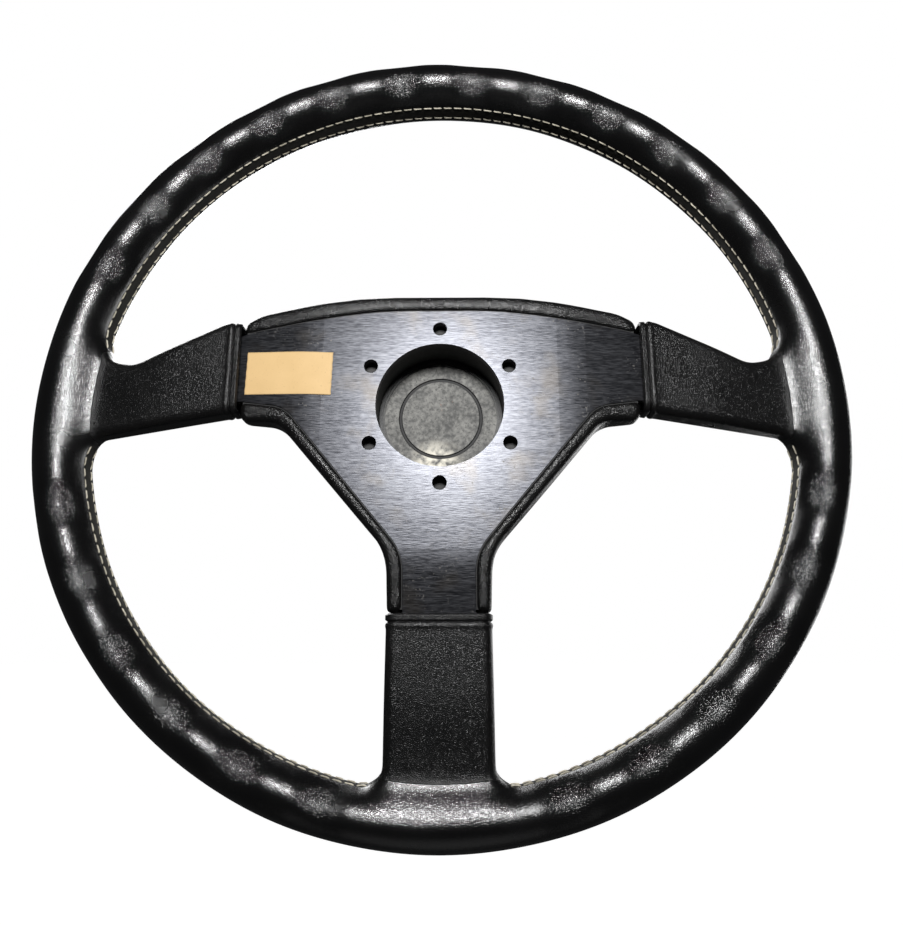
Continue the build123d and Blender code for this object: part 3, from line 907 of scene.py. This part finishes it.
def sleeve_rings(arm, stations):
    """Rings of 200 points round a sleeve, one for each station along its arm."""
    along, across, slope, back = arm_frame(arm)
    rings = []
    for u in stations:
        low, high = outline_limits(arm["outline"], u)
        middle = -slope * (u - arm["bend"])
        ring = rounded_ring(low, high, middle - SLEEVE_FRONT, middle + back, SLEEVE_EDGE, 200)
        round_the_hub = np.sqrt(np.maximum(u * u - ring[:, 0] ** 2, 0))
        reach = u + (round_the_hub - u) * smooth_step(u, 136, 152)
        flat = np.outer(reach, along) + np.outer(ring[:, 0], across)
        rings.append(flat + np.outer(ring[:, 1], (0, 1, 0)))
    return np.array(rings)


def hem_shape(distance):
    """Height of the folded edge: a raised band, then a groove before the plain leather."""
    band = 0.35 * smooth_step(distance, 0, 0.8) * (1 - smooth_step(distance, HEM - 0.9, HEM - 0.1))
    groove = -0.65 * np.exp(-((distance - HEM) / 0.42) ** 2)
    lip = 0.32 * np.exp(-((distance - HEM - 1.6) / 0.9) ** 2)
    edge = -0.8 * (1 - smooth_step(distance, 0, 0.7))
    return band + groove + lip + edge


def build_sleeves(leather, foam):
    """The arms' leather, closer ringed at the hem and at the grip, and the padding inside it."""
    for side, arm in ARMS.items():
        start = arm["start"]
        stations = np.concatenate([
            start + np.linspace(0, HEM + 3, 27)[:-1],
            np.linspace(start + HEM + 3, SLEEVE_END - 3, 58)[:-1],
            np.linspace(SLEEVE_END - 3, SLEEVE_END, 13),
        ])
        _, joined = arm_fields(arm)
        surface = pull_to_surface(sleeve_rings(arm, stations), joined, 9)
        normals = tube_normals(surface)
        from_start = (stations - start)[:, None, None]
        to_end = (SLEEVE_END - stations)[:, None, None]
        edge = 0.12 * smooth_step(to_end, 0, 0.8) - 0.40 * (1 - smooth_step(to_end, 0, 0.7))
        surface = surface + normals * (hem_shape(from_start) + edge)
        piece = leather_tube("sleeve_leather_" + side, surface, leather)
        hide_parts("spoke_leather_" + side)
        build_sleeve_foam(side, surface, normals, foam)


def build_sleeve_foam(side, surface, normals, material):
    """Padding inside a sleeve, from behind its hem to the grip."""
    inside = (surface - normals * (LEATHER + 0.15))[14::2, ::2]
    piece = make_piece("sleeve_foam_" + side, inside, tube_faces(*inside.shape[:2]), material)
    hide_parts("spoke_foam_" + side)


# --- Pad ---
def plate_outline():
    tip = plate_high[0]
    corners = [(28, 43.5), (88, 34.0), (125, 18), (tip, 15.0), (tip, -3.0),
               (88, 2.5), (68, -0.5), (15, -64.5), (15, plate_low[2])]
    return rounded_polygon(*mirrored(corners, [180, 60, 40, 3, 3, 20, 15, 22, 3]))


def pad_outline():
    end, foot = roll_high[0], roll_low[2]
    corners = [(36, 51), (80, 43.6), (end, 39.6), (end, -6.5), (70.9, -7.0), (22.2, -63.9), (21.6, foot)]
    return rounded_polygon(*mirrored(corners, [180, 20, 5, 4, 12, 25, 2]))


def plate_back(x, z):
    """Y of the plate's back face, with its bends."""
    across = bend_ramp(np.abs(x) - SIDE_BEND) * arm_slope(SIDE_BEND)
    down = bend_ramp(-z - BOTTOM_BEND) * arm_slope(BOTTOM_BEND)
    return -np.maximum(across, down)


def bend_ramp(value):
    """0 before a bend and the distance past it after, eased over the bend's arc."""
    eased = (value + BEND_REACH) ** 2 / (4 * BEND_REACH)
    return np.where(np.abs(value) < BEND_REACH, eased, np.maximum(value, 0))


def smooth_ramp(value, softness):
    return (np.sqrt(value ** 2 + softness ** 2) + value) / 2


def pad_front(x, z):
    """Depth of the pad's crowned face below the hub's mounting plane: it falls away at each end."""
    sides = 0.279 * smooth_ramp(np.abs(x) - 45.5, 16)
    top = 0.327 * smooth_ramp(z - 33, 6)
    foot = 0.211 * smooth_ramp(-z - 33.4, 12)
    return PAD_DEPTH - sides - top - foot


def pad_field(outline, plate):
    """The pad's leather: crowned face, rounded sides and a rolled edge round the spoke plate."""
    def field(points):
        x, y, z = points.T
        depth = plate_back(x, z) - y
        in_front = -y - pad_front(x, z)
        body = both(both(outline_distance(x, z, outline), -depth - roll_high[1], 3.2), in_front, 6.5)
        slot = np.maximum(outline_distance(x, z, plate) - 0.2, depth - PLATE - 0.05)
        return both(both(body, -slot, 2.4), PAD_BORE - np.hypot(x, z), 0.6)

    return field


def pad_core_field(outline):
    """The foam in front of the pad's tray."""
    skin = LEATHER + 0.1

    def field(points):
        x, y, z = points.T
        depth = plate_back(x, z) - y
        in_front = -y - pad_front(x, z) + skin
        body = both(both(outline_distance(x, z, outline) + skin, TRAY_FRONT - depth, 0.5), in_front, 5)
        return both(body, PAD_BORE + 0.1 - np.hypot(x, z), 0.5)

    return field


def pulled_near(points, field, within):
    """Points moved onto a field's surface, apart from those far inside it."""
    near = field(points) > -within
    points[near] = pull_to_surface(points[near], field, 8)
    return points


def build_pad_cover(material):
    """The pad's leather: a skin over the tray and its foam, open under the plate and in the bore."""
    plate = plate_outline()
    voxel = 1.0
    points, faces = remeshed("pad_skin", ["pad_leather", "pad_foam", "pad_carrier"], voxel)
    field = pad_field(pad_outline(), plate)
    before = field(points)
    points = pulled_near(points, field, 3.0)
    x, y, z = points.T
    depth = plate_back(x, z) - y
    under_plate = (outline_distance(x, z, plate) < -0.8) & (depth > 2) & (depth < 9)
    hidden = under_plate | (np.hypot(x, z) < PAD_BORE + 0.5) | (before < -3.0)
    faces = [face for face in faces if not hidden[face].any()]
    piece = make_piece("pad_cover", points, faces, material)
    smoothing = piece.modifiers.new("smoothing", "SMOOTH")
    smoothing.iterations = 3
    thicken(piece)
    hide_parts("pad_leather")


def build_pad_foam(material):
    points, faces = remeshed("pad_core", ["pad_foam"], 1.6)
    points = pulled_near(points, pad_core_field(pad_outline()), 1.5)
    piece = make_piece("pad_foam_block", points, faces, material)
    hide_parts("pad_foam")


# --- Horn push, driver's side ---
def arc_points(centre, radius, start, end, steps):
    angles = np.radians(np.linspace(start, end, steps + 1))
    return [(centre[0] + radius * math.cos(a), centre[1] + radius * math.sin(a)) for a in angles]


def build_push_shell(material):
    """The push's moulded shell: flanged at the back, dished in the middle, hollow behind."""
    face, back, dish = cap_low[1], cap_high[1], insert_high[1]
    dish_radius = -insert_low[0]
    edge = 2.6
    profile = [
        (BUTTON_RADIUS, back), (BUTTON_RADIUS, back - 0.8),
        (BUTTON_FLANGE, back - 0.9), (BUTTON_FLANGE, back - 2.1), (BUTTON_RADIUS, back - 2.2),
        *arc_points((BUTTON_RADIUS - edge, face + edge), edge, 0, -90, 8),
        (dish_radius + 1.2, face),
        *arc_points((dish_radius + 0.7, face + 0.45), 0.45, -90, -180, 4),
        (dish_radius + 0.25, dish + 0.05), (AXIS_GAP, dish + 0.05),
        (AXIS_GAP, dish + 1.0), (17, dish + 1.0), (17, back - 0.9), (21, back - 0.9),
        (21, dish + 2.6), (22.8, dish + 2.6), (22.8, back),
    ]
    piece = turned_piece("horn_button_shell", profile, material, "horn_button")
    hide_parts("horn_button_cap")


def build_push_disc(material):
    """The aluminium disc in the push's dish, with a rounded rim."""
    face, dish = cap_low[1], insert_high[1]
    radius = -insert_low[0]
    profile = [
        (AXIS_GAP, dish), (radius, dish), (radius, face + 0.55),
        *arc_points((radius - 0.3, face + 0.55), 0.3, 0, -90, 4),
        (radius - 1.6, face + 0.25), (radius - 2.0, face + 0.42), (AXIS_GAP, face + 0.42),
    ]
    piece = turned_piece("horn_button_disc", profile, material, "horn_button")
    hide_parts("horn_button_insert")


def build_bezel(material):
    """The ring round the push, its foot on the pad's face and its collar in the pad's bore."""
    front, back = bezel_low[1], bezel_high[1]
    inside, outside = housing_high[0] + 0.1, bezel_high[0]
    collar_inside, collar_outside = BEZEL_COLLAR
    profile = [
        (inside, back), (inside, front + 0.4),
        *arc_points((inside + 0.4, front + 0.4), 0.4, 180, 270, 4),
        *arc_points((outside - 1.9, front + 1.9), 1.9, 270, 360, 8),
        (outside, BEZEL_FOOT), (outside - 1.2, BEZEL_FOOT + 0.4),
        (collar_outside, BEZEL_FOOT + 0.4), (collar_outside, BEZEL_FOOT - 0.3),
        (collar_inside, BEZEL_FOOT - 0.3), (collar_inside, back),
    ]
    piece = turned_piece("horn_bezel_ring", profile, material)
    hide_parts("horn_bezel")


def build_spring(material):
    """Coil spring behind the push."""
    top, wire = spring_high[1], SPRING_WIRE / 2
    radius = (spring_high[0] - spring_low[0]) / 2 - wire
    length = top - spring_low[1] - SPRING_WIRE
    steps, sides = 240, 12
    turn = np.linspace(0, TAU * SPRING_TURNS, steps + 1)[:, None]
    round_wire = once_round(sides)[None, :]
    height = top - wire - length * turn / turn[-1] + wire * np.sin(round_wire)
    coil = around_axis(radius + wire * np.cos(round_wire), turn, height)
    piece = make_piece("horn_spring_coil", coil, tube_faces(steps + 1, sides), material)
    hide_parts("horn_spring")
    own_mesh(piece)


# --- Label ---
def sheet_faces(rows, columns):
    """Faces of a thin sheet: a grid of points, the same grid below it, and the edges between."""
    count = rows * columns
    upper = grid_faces(rows, columns, False, False)
    lower = grid_faces(rows, columns, False, False, count)[:, ::-1]
    index = np.arange(count).reshape(rows, columns)
    border = np.concatenate([index[0], index[1:, -1], index[-1, -2::-1], index[-2:0:-1, 0]])
    after = np.roll(border, -1)
    edges = np.stack([border, after, count + after, count + border], -1)
    return np.concatenate([upper, lower, edges])


def build_label(material):
    """Blank paper label lying on the plate, a little wavy, with one corner lifting."""
    columns, rows = 64, 36
    u = np.linspace(-0.5, 0.5, columns)[None, :]
    v = np.linspace(-0.5, 0.5, rows)[:, None]
    middle = (label_low + label_high) / 2
    across = LABEL[0] * u + 0.07 * np.sin(31 * v + 1) + 0.3 * v
    up = LABEL[1] * v + 0.10 * np.sin(5 * u + 2)
    x = middle[0] + across * math.cos(LABEL_TURN) - up * math.sin(LABEL_TURN)
    z = middle[2] + across * math.sin(LABEL_TURN) + up * math.cos(LABEL_TURN)
    lift = 0.8 * np.clip(-u - v - 0.55, 0, 1) ** 1.5 + 0.04 * (1 + np.sin(9 * u + 4 * v))
    surface = np.stack([x, plate_back(x, z) + 0.17 + lift, z], -1)
    under = surface - np.array([0, 0.13, 0])
    points = np.concatenate([surface, under])
    piece = make_piece("stock_label_paper", points, sheet_faces(rows, columns), material)
    inside = np.minimum((0.5 - np.abs(u)) * LABEL[0], (0.5 - np.abs(v)) * LABEL[1])
    edge = 1 - smooth_step(inside, 0.0, 0.7)
    set_values(piece, "edge", np.concatenate([edge, edge]))
    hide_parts("stock_label")


# --- CAD nodes that stay ---
def dress_frame_nodes():
    """Gives the CAD nodes that no piece replaces their materials, and the plate its broken edges."""
    steel = metal("bare_steel", (0.36, 0.36, 0.37), 0.38)
    brass = metal("contact_brass", (0.72, 0.52, 0.22), 0.30)
    finishes = {
        "spoke_plate": brushed_plate(),
        "horn_back_plate": dusty_steel(),
        "horn_housing": plastic("horn_plastic", (0.012, 0.012, 0.012), 0.48),
        "pad_carrier": plastic("carrier_plastic", (0.014, 0.014, 0.014), 0.55),
        "contact_insulator": plastic("insulator_fibre", (0.26, 0.12, 0.07), 0.6),
        "spoke_rivets": metal("rivet_aluminium", (0.70, 0.70, 0.72), 0.35),
        "rim_core": steel,
        "rim_lug_left": steel,
        "rim_lug_right": steel,
        "rim_lug_bottom": steel,
        "retaining_ring": metal("dull_ring", (0.09, 0.09, 0.088), 0.55),
        "moving_contact": brass,
        "fixed_contact": brass,
    }
    for node, material in finishes.items():
        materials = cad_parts[node].data.materials
        materials.clear()
        materials.append(material)
    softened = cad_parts["spoke_plate"].modifiers.new("edges", "BEVEL")
    softened.width = 0.25 * MM
    softened.segments = 2
    softened.limit_method = "ANGLE"
    softened.angle_limit = 50 * DEGREE


# --- Camera, light and floor ---
CAMERA_PLACE = Vector((-8.15, 316.13, -106.36)) * MM
CAMERA_TARGET = Vector((-5.1, 0.0, -26.3)) * MM
SENSOR = 36.0                # millimetres along the picture's long side
LENS = 29.86
DOME_LIGHT = ((0.95, 0.97, 1.0), 0.035)
SEEN_WHITE = ((1.0, 1.0, 1.0), 1.0)
FLOOR_Z = -0.60
FLOOR_RADIUS = 60

# Disc lights aimed at the wheel's middle: place in metres, size and power.
LIGHTS = {
    "key_back": ((0.0, 0.40, 0.125), 0.10, 2.4),
    "fill_low": ((0.0, 0.10, -0.70), 0.5, 0.10),
    "key_front": ((0.45, -1.1, 0.75), 0.7, 9.0),
    "fill_front": ((-0.8, -0.9, 0.1), 0.8, 4.5),
}


def aimed(name, data, place, target):
    """An object at a place, in metres, that looks at a target."""
    made = add_object(name, data)
    made.location = place
    made.rotation_mode = "QUATERNION"
    made.rotation_quaternion = (target - Vector(place)).to_track_quat("-Z", "Y")
    return made


def build_camera():
    data = bpy.data.cameras.new("camera")
    data.sensor_width = SENSOR
    data.lens = LENS
    data.clip_start = 0.01
    bpy.context.scene.camera = aimed("camera", data, CAMERA_PLACE, CAMERA_TARGET)


def build_lights():
    for name, (place, size, power) in LIGHTS.items():
        data = bpy.data.lights.new(name, "AREA")
        data.shape = "DISK"
        data.size = size
        data.energy = power
        aimed(name, data, place, Vector((0.0, 0.0, 0.0)))


def build_world():
    """Plain white to look at, and a soft grey dome for the light it gives."""
    world = bpy.data.worlds.new("studio")
    world.use_nodes = True
    bpy.context.scene.world = world
    tree = world.node_tree
    tree.nodes.clear()
    path = tree.nodes.new("ShaderNodeLightPath")
    mix = tree.nodes.new("ShaderNodeMixShader")
    out = tree.nodes.new("ShaderNodeOutputWorld")
    tree.links.new(path.outputs["Is Camera Ray"], mix.inputs[0])
    for place, (tint, strength) in enumerate((DOME_LIGHT, SEEN_WHITE), start=1):
        background = tree.nodes.new("ShaderNodeBackground")
        background.inputs["Color"].default_value = (*tint, 1.0)
        background.inputs["Strength"].default_value = strength
        tree.links.new(background.outputs[0], mix.inputs[place])
    tree.links.new(mix.outputs[0], out.inputs[0])


def build_floor():
    mesh = bpy.data.meshes.new("floor")
    angles = once_round(96)
    rim = [(FLOOR_RADIUS * math.cos(a), FLOOR_RADIUS * math.sin(a), FLOOR_Z) for a in angles]
    mesh.from_pydata(rim, [], [list(range(len(rim)))])
    mesh.materials.append(floor_material())
    floor = add_object("floor", mesh)
    floor.visible_glossy = False
    floor.visible_diffuse = False


# --- Making ---
build_camera()
build_lights()
build_world()
build_floor()
bpy.context.scene.view_settings.view_transform = "Standard"

sleeve_leather = grained_leather("spoke_leather", 0.65, 0.075, 0.27, 0.36,
                                 (0.0040, 0.0040, 0.0044), (0.0075, 0.0073, 0.0073))
pad_leather = grained_leather("pad_leather", 0.70, 0.075, 0.23, 0.31,
                              (0.0045, 0.0045, 0.0048), (0.0075, 0.0072, 0.0070))
foam = plastic("grip_foam", (0.03, 0.03, 0.03), 0.8, 0.1)

build_grip(rim_leather())
build_grip_foam(foam)
build_stitches(thread_material())
build_sleeves(sleeve_leather, foam)
build_pad_cover(pad_leather)
build_pad_foam(plastic("pad_foam", (0.05, 0.05, 0.05), 0.8, 0.1))
build_push_shell(plastic("horn_cap", (0.012, 0.012, 0.012), 0.30, 0.02))
build_push_disc(spun_insert())
build_bezel(plastic("horn_trim", (0.010, 0.010, 0.010), 0.34, 0.03))
build_spring(metal("spring_steel", (0.50, 0.50, 0.51), 0.28))
build_label(label_paper())
dress_frame_nodes()
